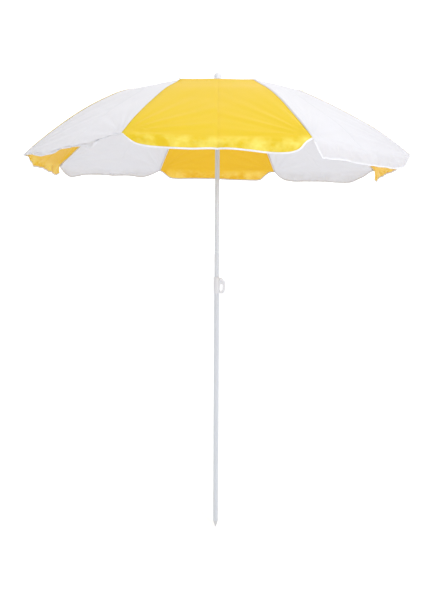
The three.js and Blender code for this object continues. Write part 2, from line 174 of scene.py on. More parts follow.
# Ribs, stretchers, and the hubs that they are hung in
EYE_RADIUS = 4.6 * MM
EYE_HOLE = 1.9 * MM
EYE_RUN = 9 * MM
EYE_END = 0.4 * MM
EYE_HALF_WIDTH = 1.6 * MM
ROD_RADIUS = 2 * MM
WIRE_RADIUS = 1.2 * MM
SLOT_WIDTH = 4.2 * MM
SLOT_PAST_WIRE = 5.2 * MM

# Crown patch
PATCH_RADIUS = 50.4 * MM

# Camera and light. The camera was fitted by a program to the rib tips and the pole's ends.
CAMERA_DISTANCE = 3.393
CAMERA_HEIGHT = 1.5013
CAMERA_PITCH = math.radians(-5.5)
CAMERA_YAW = math.radians(0.488)
CAMERA_ROLL = math.radians(0.337)
CAMERA_LENS = 42.035
BACKDROP_LIGHT = 1.5
ROOM_LIGHT = 0.7

# Edges sharper than this stay sharp, in degrees: on turned pieces, and on plates and cut pieces
SHARP_ANGLE = 35
CUT_ANGLE = 30


# ---------------------------------------------------------------- meshes


def make_object(name, points, faces, sharp_angle=SHARP_ANGLE):
    mesh = bpy.data.meshes.new(name)
    mesh.from_pydata([tuple(p) for p in points], [], [tuple(f) for f in faces])
    mesh.update()
    obj = bpy.data.objects.new(name, mesh)
    bpy.context.scene.collection.objects.link(obj)
    shade(obj, sharp_angle)
    return obj


def shade(obj, sharp_angle):
    """Smooth shading that keeps the edges sharper than sharp_angle, in degrees."""
    mesh = obj.data
    mesh.polygons.foreach_set("use_smooth", [True] * len(mesh.polygons))
    mesh.set_sharp_from_angle(angle=math.radians(sharp_angle))


def from_mm(points):
    return [(a * MM, b * MM) for a, b in points]


def lathe(name, profile, segments=96, sharp_angle=SHARP_ANGLE):
    """A solid of revolution about Z. The profile runs counterclockwise in (radius, z)."""
    on_axis = profile[0][0] == 0
    points, faces, rings = [], [], []
    for radius, z in profile:
        if radius == 0:
            rings.append([len(points)] * segments)
            points.append((0, 0, z))
            continue
        rings.append(list(range(len(points), len(points) + segments)))
        for i in range(segments):
            angle = 2 * math.pi * i / segments
            points.append((radius * math.cos(angle), radius * math.sin(angle), z))
    pairs = list(zip(rings, rings[1:]))
    if not on_axis:
        pairs.append((rings[-1], rings[0]))
    for low, high in pairs:
        for i in range(segments):
            j = (i + 1) % segments
            corners = (low[i], low[j], high[j], high[i])
            face = [c for n, c in enumerate(corners) if c != corners[n - 1]]
            if len(face) > 2:
                faces.append(face)
    return make_object(name, points, faces, sharp_angle)


def rounded(corners, radius, steps=4):
    """A closed outline with each corner rounded off, by at most a share of the edges beside it."""
    outline = []
    count = len(corners)
    share = 0.45
    for i, corner in enumerate(corners):
        here = Vector(corner)
        before = Vector(corners[i - 1]) - here
        after = Vector(corners[(i + 1) % count]) - here
        reach = min(radius, before.length * share, after.length * share)
        start = here + before.normalized() * reach
        end = here + after.normalized() * reach
        for step in range(steps + 1):
            t = step / steps
            outline.append(tuple(start.lerp(here, t).lerp(here.lerp(end, t), t)))
    return outline


def circle(x, z, radius, segments):
    angles = [2 * math.pi * i / segments for i in range(segments)]
    return [(x + radius * math.cos(angle), z + radius * math.sin(angle)) for angle in angles]


def plate(name, outline, thickness):
    """A plate in the XZ plane, centred on Y, from a counterclockwise outline."""
    half = thickness / 2
    count = len(outline)
    points = [(x, -half, z) for x, z in outline] + [(x, half, z) for x, z in outline]
    faces = [list(range(count)), list(range(2 * count - 1, count - 1, -1))]
    for i in range(count):
        j = (i + 1) % count
        faces.append([j, i, count + i, count + j])
    return make_object(name, points, faces, CUT_ANGLE)


def add_bevel(obj, width, segments=2):
    bevel = obj.modifiers.new("Bevel", "BEVEL")
    bevel.width = width
    bevel.segments = segments
    bevel.limit_method = "ANGLE"
    bevel.angle_limit = math.radians(SHARP_ANGLE)
    bevel.harden_normals = True
    return obj


def cylinder_y(name, x, z, radius, length, segments=32):
    return plate(name, circle(x, z, radius, segments), length)


def block(name, centre, size, spin=0.0):
    """A box turned about Z by spin, used to cut with."""
    x, y, z = (side / 2 for side in size)
    outline = [(-x, -z), (x, -z), (x, z), (-x, z)]
    obj = plate(name, outline, 2 * y)
    obj.data.transform(Matrix.Rotation(spin, 4, "Z") @ Matrix.Translation(centre))
    return obj


def boolean(obj, operation, *others):
    """Cuts others from obj, or joins them to it, and removes them."""
    for other in others:
        modifier = obj.modifiers.new("Boolean", "BOOLEAN")
        modifier.operation = operation
        modifier.object = other
        modifier.solver = "EXACT"
    bake_modifiers(obj)
    for other in others:
        bpy.data.objects.remove(other)
    return obj


def bake_modifiers(obj):
    graph = bpy.context.evaluated_depsgraph_get()
    mesh = bpy.data.meshes.new_from_object(obj.evaluated_get(graph))
    obj.modifiers.clear()
    obj.data = mesh
    clean = bmesh.new()
    clean.from_mesh(mesh)
    bmesh.ops.remove_doubles(clean, verts=clean.verts, dist=1e-6)
    bmesh.ops.dissolve_degenerate(clean, edges=clean.edges, dist=1e-6)
    clean.to_mesh(mesh)
    clean.free()
    shade(obj, CUT_ANGLE)


def rod(name, stations, segments=16):
    """A bar swept along the XZ plane through stations of (x, z, slope, half depth, half width).

    Its section is between an ellipse, at a squareness of 1, and a rectangle, at 0.
    """
    squareness = 0.7
    points, faces = [], []
    for x, z, slope, depth, width in stations:
        for i in range(segments):
            angle = 2 * math.pi * i / segments
            side = width * math.copysign(abs(math.cos(angle)) ** squareness, math.cos(angle))
            lift = depth * math.copysign(abs(math.sin(angle)) ** squareness, math.sin(angle))
            points.append((x + lift * math.sin(slope), side, z + lift * math.cos(slope)))
    for ring in range(len(stations) - 1):
        for i in range(segments):
            a = ring * segments + i
            b = ring * segments + (i + 1) % segments
            faces.append((a, a + segments, b + segments, b))
    last = (len(stations) - 1) * segments
    faces.append(list(range(segments)))
    faces.append(list(range(last + segments - 1, last - 1, -1)))
    return make_object(name, points, faces)


def copy_of(obj, name):
    twin = obj.copy()
    twin.data = obj.data.copy()
    twin.name = name
    bpy.context.scene.collection.objects.link(twin)
    return twin


def place(obj, azimuth, x=0.0, z=0.0, tilt=0.0):
    """Stands a piece made in the XZ plane at an azimuth: 0 is -Y, and it grows towards +X."""
    obj.data.transform(
        Matrix.Rotation(azimuth - math.pi / 2, 4, "Z")
        @ Matrix.Translation((x, 0, z))
        @ Matrix.Rotation(tilt, 4, "Y")
    )
    return obj


def finish_piece(obj, body, material, nodes=()):
    obj.data.materials.clear()
    obj.data.materials.append(material)
    if nodes:
        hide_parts(*nodes)
    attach(obj, body)
    return obj


# ---------------------------------------------------------------- materials


class Nodes:
    """Adds shader nodes to a material, or to the world, with short calls."""

    def __init__(self, owner):
        owner.use_nodes = True
        self.owner = owner
        self.tree = owner.node_tree
        self.shader = next(n for n in self.tree.nodes if n.type in ("BSDF_PRINCIPLED", "BACKGROUND"))
        self.output = next(n for n in self.tree.nodes if n.type.startswith("OUTPUT"))

    def add(self, kind, inputs=None, **settings):
        node = self.tree.nodes.new(kind)
        for key, value in settings.items():
            setattr(node, key, value)
        for key, value in (inputs or {}).items():
            self.set(node, key, value)
        return node

    def set(self, node, key, value):
        socket = node.inputs[key]
        if isinstance(value, bpy.types.NodeSocket):
            self.tree.links.new(value, socket)
        else:
            socket.default_value = value

    def math(self, operation, a, b=0.0):
        return self.add("ShaderNodeMath", {0: a, 1: b}, operation=operation).outputs[0]

    def mix(self, factor, a, b):
        node = self.add("ShaderNodeMix", data_type="RGBA")
        self.set(node, 0, factor)
        self.set(node, 6, a)
        self.set(node, 7, b)
        return node.outputs[2]

    def noise(self, vector, scale, detail=2.0, roughness=0.5):
        inputs = {"Vector": vector, "Scale": scale, "Detail": detail, "Roughness": roughness}
        return self.add("ShaderNodeTexNoise", inputs).outputs["Fac"]

    def span(self, value, low, high, start=0.0, end=1.0):
        """value, from start to end, as a number from low to high."""
        inputs = {"Value": value, "From Min": start, "From Max": end, "To Min": low, "To Max": high}
        return self.add("ShaderNodeMapRange", inputs).outputs[0]


def new_material(name):
    return Nodes(bpy.data.materials.new(name))


def object_space(nodes):
    return nodes.add("ShaderNodeTexCoord").outputs["Object"]


def cloth_uv(nodes, name):
    uv = nodes.add("ShaderNodeUVMap", uv_map=name).outputs[0]
    split = nodes.add("ShaderNodeSeparateXYZ", {0: uv})
    return uv, split.outputs[0], split.outputs[1]


def threads(nodes, value, pitch):
    """Rounded threads, two to a pitch, from 0 to 1."""
    wave = nodes.math("SINE", nodes.math("MULTIPLY", value, 2 * math.pi / pitch))
    return nodes.span(nodes.math("MULTIPLY", wave, wave), 0.0, 1.0)


def dashes(nodes, across, along, where):
    """A row of stitches at a distance from the edge."""
    half_width, pitch, drawn = 0.5 * MM, 3.2 * MM, 0.72
    off = nodes.math("ABSOLUTE", nodes.math("SUBTRACT", across, where))
    line = nodes.math("LESS_THAN", off, half_width)
    turn = nodes.math("FRACT", nodes.math("DIVIDE", along, pitch))
    return nodes.math("MULTIPLY", line, nodes.math("LESS_THAN", turn, drawn))


def fabric(name, light, dark, painted_flap_light, glow, see_through):
    """Plain-weave polyester: threads, slubs, blotches, stitches and light from behind.

    On the flap, below the rib's end, noisy patches in the colour stand for light on the loose cloth's
    creases: a painted highlight on yellow, a slight painted shade on white.
    """
    nodes = new_material(name)
    uv, across, along = cloth_uv(nodes, "Cloth")
    weave = nodes.math(
        "MAXIMUM",
        threads(nodes, across, 0.9 * MM),
        threads(nodes, along, 0.9 * MM),
    )
    stretched = nodes.add("ShaderNodeMapping", {0: uv, 3: (900.0, 40.0, 1.0)}).outputs[0]
    slub = nodes.noise(stretched, 1.0, 3.0)
    blotch = nodes.noise(object_space(nodes), 7.0, 4.0, 0.6)
    stitch = dashes(nodes, across, along, 3.4 * MM)
    shade_of = nodes.math("ADD", nodes.math("MULTIPLY", blotch, 0.6), nodes.math("MULTIPLY", slub, 0.4))
    colour = nodes.mix(nodes.span(shade_of, 0.1, 0.75), light, dark)
    # Painted highlight on the flap: noise patches blend the colour towards the third colour, which is
    # lighter on the yellow cloth and slightly darker, a painted shade, on the white.
    creases = nodes.noise(object_space(nodes), 15.0, 3.0, 0.55)
    on_flap = nodes.span(along, 0.0, 1.0, RIB_LENGTH - 20 * MM, RIB_LENGTH + 15 * MM)
    painted_flap_mask = nodes.math("MULTIPLY", on_flap, nodes.span(creases, 0.0, 1.0, 0.38, 0.66))
    nodes.set(nodes.shader, "Base Color", nodes.mix(painted_flap_mask, colour, painted_flap_light))
    nodes.set(nodes.shader, "Roughness", nodes.span(blotch, 0.34, 0.46))
    nodes.set(nodes.shader, "Specular IOR Level", 0.2)
    nodes.set(nodes.shader, "Sheen Weight", 0.02)
    nodes.set(nodes.shader, "Sheen Roughness", 0.4)
    height = nodes.math("ADD", nodes.math("MULTIPLY", weave, 0.35), nodes.math("MULTIPLY", slub, 0.3))
    height = nodes.math("ADD", height, nodes.math("MULTIPLY", stitch, 1.6))
    bump = nodes.add(
        "ShaderNodeBump",
        {"Strength": 0.35, "Distance": 0.25 * MM, "Height": height},
    )
    nodes.set(nodes.shader, "Normal", bump.outputs[0])
    through = nodes.add("ShaderNodeBsdfTranslucent", {"Color": glow, "Normal": bump.outputs[0]})
    mixed = nodes.add("ShaderNodeMixShader", {0: see_through})
    nodes.set(mixed, 1, nodes.shader.outputs[0])
    nodes.set(mixed, 2, through.outputs[0])
    nodes.set(nodes.output, "Surface", mixed.outputs[0])
    return nodes.owner


def tape(name, colour, shadow):
    """The ribbed white tape that binds the flap."""
    nodes = new_material(name)
    uv, across, along = cloth_uv(nodes, "Cloth")
    rib = threads(nodes, along, 1.4 * MM)
    stitch = dashes(nodes, across, along, 2.0 * MM)
    blotch = nodes.noise(uv, 30.0, 3.0)
    nodes.set(nodes.shader, "Base Color", nodes.mix(nodes.span(blotch, 0.0, 0.8), colour, shadow))
    nodes.set(nodes.shader, "Roughness", nodes.span(blotch, 0.5, 0.7))
    nodes.set(nodes.shader, "Sheen Weight", 0.2)
    height = nodes.math("ADD", nodes.math("MULTIPLY", rib, 0.4), stitch)
    bump = nodes.add("ShaderNodeBump", {"Strength": 0.4, "Distance": 0.3 * MM, "Height": height})
    nodes.set(nodes.shader, "Normal", bump.outputs[0])
    return nodes.owner


def painted(name, colour, shadow):
    """Powder-coated tube: a fine orange peel and faint scuffs along its length."""
    nodes = new_material(name)
    place_in = object_space(nodes)
    peel = nodes.noise(place_in, 900.0, 2.0)
    long_map = nodes.add("ShaderNodeMapping", {0: place_in, 3: (60.0, 60.0, 4.0)}).outputs[0]
    scuff = nodes.noise(long_map, 3.0, 5.0, 0.65)
    nodes.set(nodes.shader, "Base Color", nodes.mix(nodes.span(scuff, 0.0, 0.8), colour, shadow))
    nodes.set(nodes.shader, "Roughness", nodes.span(scuff, 0.26, 0.42))
    nodes.set(nodes.shader, "Coat Weight", 0.25)
    nodes.set(nodes.shader, "Coat Roughness", 0.2)
    bump = nodes.add("ShaderNodeBump", {"Strength": 0.12, "Distance": 0.1 * MM, "Height": peel})
    nodes.set(nodes.shader, "Normal", bump.outputs[0])
    return nodes.owner


def moulded(name, colour, shadow, roughness):
    """Injection-moulded plastic with a fine spark texture and slight soiling."""
    nodes = new_material(name)
    place_in = object_space(nodes)
    grain = nodes.noise(place_in, 2200.0, 2.0)
    soil = nodes.noise(place_in, 40.0, 4.0, 0.6)
    nodes.set(nodes.shader, "Base Color", nodes.mix(nodes.span(soil, 0.0, 0.7), colour, shadow))
    nodes.set(nodes.shader, "Roughness", nodes.span(soil, roughness - 0.06, roughness + 0.08))
    bump = nodes.add("ShaderNodeBump", {"Strength": 0.15, "Distance": 0.08 * MM, "Height": grain})
    nodes.set(nodes.shader, "Normal", bump.outputs[0])
    return nodes.owner


def plated(name, colour, shadow):
    """Zinc-plated steel: drawn along its length, with cloudy spangle."""
    nodes = new_material(name)
    place_in = object_space(nodes)
    cloud = nodes.noise(place_in, 120.0, 4.0, 0.6)
    grain = nodes.noise(place_in, 1500.0, 2.0)
    nodes.set(nodes.shader, "Base Color", nodes.mix(nodes.span(cloud, 0.0, 1.0), colour, shadow))
    nodes.set(nodes.shader, "Roughness", nodes.span(cloud, 0.3, 0.5))
    nodes.set(nodes.shader, "Metallic", 0.9)
    bump = nodes.add("ShaderNodeBump", {"Strength": 0.2, "Distance": 0.05 * MM, "Height": grain})
    nodes.set(nodes.shader, "Normal", bump.outputs[0])
    return nodes.owner


# Each cloth's third colour is its painted flap light: a painted highlight on the yellow cloth, a slight
# painted shade on the white one, and none on the lined patch.
MATERIALS = {
    "yellow_fabric": fabric(
        "yellow_cloth", (0.55, 0.565, 0.018, 1), (0.51, 0.52, 0.016, 1), (0.68, 0.8, 0.17, 1),
        (1.0, 0.28, 0.025, 1), 0.35
    ),
    "white_fabric": fabric(
        "white_cloth", (0.555, 0.56, 0.605, 1), (0.515, 0.52, 0.56, 1), (0.54, 0.545, 0.59, 1),
        (0.8, 0.805, 0.85, 1), 0.35
    ),
    "lined_fabric": fabric(
        "lined_cloth", (0.7, 0.705, 0.74, 1), (0.66, 0.665, 0.70, 1), (0.7, 0.705, 0.74, 1),
        (0.78, 0.785, 0.83, 1), 0.0
    ),
    "tape": tape("white_tape", (0.64, 0.645, 0.68, 1), (0.59, 0.595, 0.63, 1)),
    "painted_steel": painted("pole_paint", (0.565, 0.595, 0.645, 1), (0.51, 0.54, 0.59, 1)),
    "white_plastic": moulded("white_plastic", (0.63, 0.64, 0.68, 1), (0.57, 0.58, 0.615, 1), 0.42),
    "pale_plastic": moulded("pale_plastic", (0.66, 0.67, 0.71, 1), (0.64, 0.65, 0.69, 1), 0.42),
    "grey_plastic": moulded("grey_plastic", (0.55, 0.56, 0.59, 1), (0.47, 0.48, 0.51, 1), 0.5),
    "bright_steel": plated("zinc_steel", (0.8, 0.81, 0.84, 1), (0.66, 0.67, 0.70, 1)),
}


# ---------------------------------------------------------------- canopy


def rib_curve(s, lift=0.0):
    """(outward, height, slope) from the crown pivot for distances s along a rib."""
    s = np.asarray(s, float)
    x, z = np.zeros_like(s), np.zeros_like(s)
    slope = np.full_like(s, RIB_ARCS[0][1])
    start = 0.0
    for length, first, last in RIB_ARCS:
        run = np.clip(s - start, 0, length)
        bend = (last - first) / length
        here = first + bend * run
        if bend == 0:
            x += run * math.cos(first)
            z -= run * math.sin(first)
        else:
            x += (np.sin(here) - math.sin(first)) / bend
            z -= (math.cos(first) - np.cos(here)) / bend
        slope = np.where(s >= start, here, slope)
        start += length
    behind = np.minimum(s, 0)
    x += behind * math.cos(INNER_SLOPE)
    z -= behind * math.sin(INNER_SLOPE)
    return x + lift * np.sin(slope), z + lift * np.cos(slope), slope


def smooth(value):
    """0 to 1 with a soft start and a soft end, and flat beyond both."""
    value = np.clip(value, 0, 1)
    return value * value * (3 - 2 * value)


def curve_through(knots, x):
    """A smooth curve through (x, y) knots."""
    knot_x, knot_y = np.array(knots, float).T
    slope = np.gradient(knot_y, knot_x)
    i = np.clip(np.searchsorted(knot_x, x) - 1, 0, len(knot_x) - 2)
    width = knot_x[i + 1] - knot_x[i]
    t = (x - knot_x[i]) / width
    return (
        (1 + 2 * t) * (1 - t) ** 2 * knot_y[i]
        + t * (1 - t) ** 2 * width * slope[i]
        + t**2 * (3 - 2 * t) * knot_y[i + 1]
        + t**2 * (t - 1) * width * slope[i + 1]
    )


def rib_of(panel, side):
    """The rib at a panel's left edge, side -1, or at its right edge, side +1."""
    return (panel - 2) % PANELS + 1 if side < 0 else panel


def rib_rise(rib, s):
    """How far a rib's own set lifts it beyond the elbow."""
    share = np.clip((s - ARM) / (RIB_LENGTH - ARM), 0, 1)
    return MM * curve_through(list(zip(SET_AT, RIB_SET[rib])), share)


def soft_noise(x, y, seed, scale):
    """Smooth noise from -1 to 1 over two arrays, the same each run."""
    flat = [
        noise.noise(Vector((a * scale, b * scale, 17.3 * seed)))
        for a, b in zip(np.ravel(x), np.ravel(y))
    ]
    return np.array(flat).reshape(np.shape(x))


def wrinkles(panel, s, y, half_width):
    """How far the cloth stands out from its taut surface: y is across, from the panel's middle."""
    from_rib = np.clip(half_width - np.abs(y), 0, None)
    side = np.sign(y + 1e-9)
    outer = smooth((s - 0.12) / 0.5)
    bay = np.sin(math.pi / 2 * np.clip(from_rib / np.maximum(half_width, 1e-6), 0, 1)) ** 2
    out = SWELL_HEIGHT * outer * bay * soft_noise(s, y, panel, SWELL_SCALE)
    out += RIPPLE_HEIGHT * outer * bay * soft_noise(s, y, panel + 20, RIPPLE_SCALE)
    # Fans of folds from each rib's tip, where the cloth is pulled tight.
    back = np.maximum(RIB_LENGTH - s, 0)
    reach = np.hypot(back, from_rib) + 1e-6
    angle = np.arctan2(from_rib, back)
    phase = 1.7 * panel + 2.1 * side
    fan = np.sin(17 * angle + phase) + 0.7 * np.sin(31 * angle - phase)
    out += FAN_HEIGHT * fan * smooth(reach / (70 * MM)) * np.exp(-reach / FAN_REACH)
    # Puckers along the seams, and the crease where the panel was folded.
    pucker = np.sin(2 * math.pi * s / PUCKER_PITCH + panel) * np.exp(-from_rib / PUCKER_REACH)
    out += PUCKER_HEIGHT * pucker * smooth(from_rib / (6 * MM)) * outer
    out -= FOLD_DEPTH * np.exp(-np.abs(y) / FOLD_WIDTH) * outer
    return out * smooth(from_rib / (4 * MM))


def flap_swing(panel, share, t):
    """How far the flap's folds and dents stand out."""
    side = 0.5 + share / 2
    wave = np.sin(2 * math.pi * 3.1 * side + 1.9 * panel) + 0.7 * np.sin(2 * math.pi * 7.3 * side + panel)
    dents = soft_noise(side * 0.7, t * 0.05, panel + 40, 26.0)
    creases = 1 - 3 * np.abs(soft_noise(side * 0.7 + t * 0.03, t * 0.05, panel + 60, 40.0))
    inside = np.clip(1 - np.abs(share) ** 8, 0, 1)
    bay = np.sin(math.pi * np.clip(t, 0, 1))
    return inside * MM * (FLAP_WAVE * wave * t + (FLAP_DENT * dents + FLAP_CREASE * creases) * bay)


def flap_lean(panel, share, t):
    """How far the flap's corners stray sideways past the ribs."""
    left, right = FLAP_LEAN.get(panel, (0, 0))
    return t * MM * (right * smooth((share - 0.5) * 2) - left * smooth((-share - 0.5) * 2))


def panel_grid(panel, s, t, share):
    """Points of a panel: s along the ribs, t from 0 to 1 down the flap, share -1 to 1 across."""
    x, z, slope = rib_curve(s, FABRIC_LIFT)
    radius = PIVOT_RADIUS + x
    half_width = radius * math.sin(HALF_ANGLE)
    y = half_width * share
    sag = PANEL_SAG * radius * np.cos(math.pi / 2 * share) ** 2
    sag = sag * (CROWN_SAG + (1 - CROWN_SAG) * smooth((s - ARM) / SAG_RUN))
    out = wrinkles(panel, s, y, half_width) - sag
    rise = rib_rise(rib_of(panel, -1), s) * (1 - share) / 2 + rib_rise(panel, s) * (1 + share) / 2
    px = radius * math.cos(HALF_ANGLE) + out * np.sin(slope)
    pz = CROWN_Z + z + out * np.cos(slope) + rise
    length = curve_through(FLAP_DEPTHS[panel], (1 + share) / 2) * MM * t
    hang = FLAP_SLOPES[0] + (FLAP_SLOPES[1] - FLAP_SLOPES[0]) * t
    px = px + length * np.cos(hang) + flap_swing(panel, share, t)
    pz = pz - length * np.sin(hang)
    return turn_to_panel(panel, px, y + flap_lean(panel, share, t), pz)


def turn_to_panel(panel, px, py, pz):
    """Points of a panel, out from the pole, across and up, in the frame's X, Y and Z."""
    azimuth = (panel - 1) * PANEL_ANGLE
    sin, cos = math.sin(azimuth), math.cos(azimuth)
    return np.stack([px * sin + py * cos, -px * cos + py * sin, pz], axis=-1)


def stations():
    """Rows of the panel grid as (s, t): down the rib, then down the flap."""
    body = np.linspace(FABRIC_START, RIB_LENGTH, BODY_ROWS)
    flap = np.linspace(0, 1, FLAP_ROWS + 1)[1:]
    s = np.concatenate([body, np.full(len(flap), RIB_LENGTH)])
    t = np.concatenate([np.zeros(len(body)), flap])
    return s, t


def columns(half_width):
    """Distances from the rib to the panel's middle: close together over the seam."""
    seam = SEAM_COLUMNS * min(1.0, 0.35 * half_width / SEAM_COLUMNS[-1])
    rest = np.linspace(seam[-1], half_width, HALF_COLUMNS + 1)[1:]
    return np.concatenate([seam, rest])


def half_panel(panel, side):
    """Half of a panel: side is -1 for the left half and +1 for the right, seen from outside."""
    s, t = stations()
    radius = PIVOT_RADIUS + rib_curve(s, FABRIC_LIFT)[0]
    widths = radius * math.sin(HALF_ANGLE)
    from_rib = np.array([columns(w) for w in widths])
    share = side * (1 - from_rib / widths[:, None])
    share[:, -1] = 0
    grid_s = np.repeat(s[:, None], from_rib.shape[1], 1)
    grid_t = np.repeat(t[:, None], from_rib.shape[1], 1)
    points = panel_grid(panel, grid_s, grid_t, share)
    # The felled seam: a lip as wide as the turned edge, a little proud of the cloth.
    lip = LIP_HEIGHT * (1 - smooth((from_rib - LIP_WIDTH) / LIP_EDGE)) * smooth(grid_s / 0.1)
    points[..., 2] += lip
    rows, cols = grid_s.shape
    faces = grid_faces(rows, cols, side > 0)
    uv = np.stack([from_rib, grid_s + grid_t * FLAP_UV_LENGTH], -1)
    vertices, uvs = points.reshape(-1, 3), uv.reshape(-1, 2)
    if SEAM_LAPS[rib_of(panel, side)] * side < 0:
        lap, lap_uv = seam_lap(panel, side, s[t == 0], widths[t == 0])
        start = len(vertices)
        lap_faces = grid_faces(lap.shape[0], lap.shape[1], side > 0)
        faces += [tuple(start + i for i in face) for face in lap_faces]
        vertices = np.concatenate([vertices, lap.reshape(-1, 3)])
        uvs = np.concatenate([uvs, lap_uv.reshape(-1, 2)])
    obj = make_object(f"cloth_{panel}_{SIDES[side]}", vertices, faces, 180)
    add_uv(obj, "Cloth", uvs)
    return obj, points


def seam_lap(panel, side, s, widths):
    """Rows of the strip of a panel that laps over its neighbour at the seam, tapering to both ends."""
    neighbour = (panel - 1 + side) % PANELS + 1
    reach = abs(SEAM_LAPS[rib_of(panel, side)]) * MM
    taper = np.sin(math.pi * np.clip(s / RIB_LENGTH, 0, 1)) ** 0.5
    width = np.minimum(np.maximum(reach * taper, LAP_LEAST), 0.2 * widths)
    strips, uv = [], []
    for part in (1, 0.75, 0.5, 0.25, 0):
        strips.append(panel_grid(neighbour, s, 0 * s, -side * (1 - part * width / widths)))
        uv.append(np.stack([-part * width, s], -1))
    root = np.minimum(LAP_ROOT, 0.3 * width)
    strips.append(panel_grid(panel, s, 0 * s, side * (1 - root / widths)))
    uv.append(np.stack([root, s], -1))
    points = np.stack(strips, 1)
    points[..., 2] += LAP_HEIGHT
    return points, np.stack(uv, 1)


def grid_faces(rows, cols, flip):
    faces = []
    for i in range(rows - 1):
        for j in range(cols - 1):
            a, b = i * cols + j, i * cols + j + 1
            face = (a, a + cols, b + cols, b)
            faces.append(face[::-1] if flip else face)
    return faces


def add_uv(obj, name, values):
    """A UV map in metres from one pair of values for each vertex."""
    layer = obj.data.uv_layers.new(name=name)
    index = np.zeros(len(obj.data.loops), int)
    obj.data.loops.foreach_get("vertex_index", index)
    layer.data.foreach_set("uv", values.reshape(-1, 2)[index].astype(np.float32).ravel())


def flap_binding(panel, side, points):
    """A tape folded over the flap's lower edge."""
    hem = points[-1]
    above = points[-3]
    inward = -side
    wide, thick = BINDING_WIDTH, BINDING_THICKNESS
    section = [
        (wide, thick), (wide * 0.5, thick * 1.15), (0.6 * MM, thick * 1.2), (-0.7 * MM, 0.45 * MM),
        (-0.7 * MM, -0.45 * MM), (0.6 * MM, -thick * 1.2), (wide * 0.5, -thick * 1.15), (wide, -thick),
    ]
    along = np.gradient(hem, axis=0)
    up = above - hem
    up -= along * (np.sum(up * along, 1) / np.sum(along * along, 1))[:, None]
    up /= np.linalg.norm(up, axis=1)[:, None]
    normal = np.cross(along, up) * inward
    normal /= np.linalg.norm(normal, axis=1)[:, None]
    count = len(section)
    rings = [hem + u * up + n * normal for u, n in section]
    grid = np.stack(rings, 1)
    faces = []
    for i in range(len(hem) - 1):
        for j in range(count):
            a, b = i * count + j, i * count + (j + 1) % count
            face = (a, a + count, b + count, b)
            faces.append(face if side > 0 else face[::-1])
    first = list(range(count))
    last = [(len(hem) - 1) * count + j for j in range(count)]
    faces.append(first if side > 0 else first[::-1])
    faces.append(last[::-1] if side > 0 else last)
    obj = make_object(f"binding_{panel}_{SIDES[side]}", grid.reshape(-1, 3), faces, 60)
    step = np.linalg.norm(np.diff(hem, axis=0), axis=1)
    run = np.concatenate([[0], np.cumsum(step)])
    across = np.array([wide - u for u, _ in section])
    uv = np.stack(np.broadcast_arrays(across[None, :], run[:, None]), -1)
    add_uv(obj, "Cloth", uv)
    return obj


def add_canopy():
    for panel in range(1, PANELS + 1):
        colour = "yellow_fabric" if panel % 2 else "white_fabric"
        for side, word in SIDES.items():
            rib = rib_of(panel, side)
            cloth, points = half_panel(panel, side)
            binding = flap_binding(panel, side, points)
            finish_piece(
                cloth, f"rib_{rib}", MATERIALS[colour], [f"panel_{panel}_{word}"]
            )
            finish_piece(
                binding, f"rib_{rib}", MATERIALS["tape"], [f"panel_{panel}_{word}"]
            )
            for piece in (cloth, binding):
                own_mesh(piece)


# ---------------------------------------------------------------- ribs and stretchers


def eye_depth(distance, at_end):
    """Half the depth of a bar near an eye: round at the end, and swelling in beside it."""
    if at_end and distance < 0:
        return math.sqrt(max(EYE_RADIUS**2 - distance**2, EYE_END**2))
    swell = 1 - float(smooth(abs(distance) / EYE_RUN))
    radius = EYE_RADIUS if at_end else EYE_RADIUS - 0.6 * MM
    return ROD_RADIUS + (radius - ROD_RADIUS) * swell


def rib_mesh(k):
    """A rib, with its rings close together round its eyes."""
    places = np.concatenate([
        np.linspace(-4.5, 0, 7), np.linspace(1, 10, 7), np.linspace(20, 395, 16),
        np.linspace(399, 421, 13), np.linspace(430, 970, 34),
    ]) * MM
    x, z, slope = rib_curve(places)
    z = z + rib_rise(k, places)
    rings = []
    for i, s in enumerate(places):
        at_crown = s < 12 * MM
        depth = eye_depth(s, True) if at_crown else eye_depth(s - ARM, False)
        near = min(abs(s), abs(s - ARM))
        width = EYE_HALF_WIDTH + 0.4 * MM * float(smooth((near - 6 * MM) / (6 * MM)))
        rings.append((x[i], z[i], slope[i], depth, width))
    elbow = rib_curve([ARM])
    return boolean(
        rod(f"rib_bar_{k}", rings),
        "DIFFERENCE",
        cylinder_y("hole_a", 0, 0, EYE_HOLE, 10 * MM),
        cylinder_y("hole_b", elbow[0][0], elbow[1][0], EYE_HOLE, 10 * MM),
    )


def stretcher_mesh():
    """A stretcher: an eye for the runner's wire at one end, and a fork for the rib at the other."""
    fork_width = 3.4 * MM
    fork_depth = 3.3 * MM
    fork_radius = 3.4 * MM
    places = np.concatenate([
        np.linspace(-4.5, 0, 7), np.linspace(1, 10, 7), np.linspace(20, 380, 12),
        np.linspace(384, 410, 10), np.linspace(410.6, 413.3, 5),
    ]) * MM
    rings = []
    for x in places:
        depth = eye_depth(x, True)
        width = EYE_HALF_WIDTH + 0.5 * MM * float(smooth((x - 6 * MM) / (8 * MM)))
        to_fork = float(smooth((x - (ARM - 28 * MM)) / (9 * MM)))
        depth += (fork_depth - depth) * to_fork
        width += (fork_width - width) * to_fork
        if x > ARM:
            depth = math.sqrt(max(fork_radius**2 - (x - ARM) ** 2, EYE_END**2))
        rings.append((x, 0.0, 0.0, depth, width))
    slot = block("slot", (ARM, 0, 0), (34 * MM, 3.8 * MM, 20 * MM))
    return boolean(
        rod("stretcher", rings, 20),
        "DIFFERENCE",
        cylinder_y("hole", 0, 0, EYE_HOLE, 10 * MM),
        slot,
    )


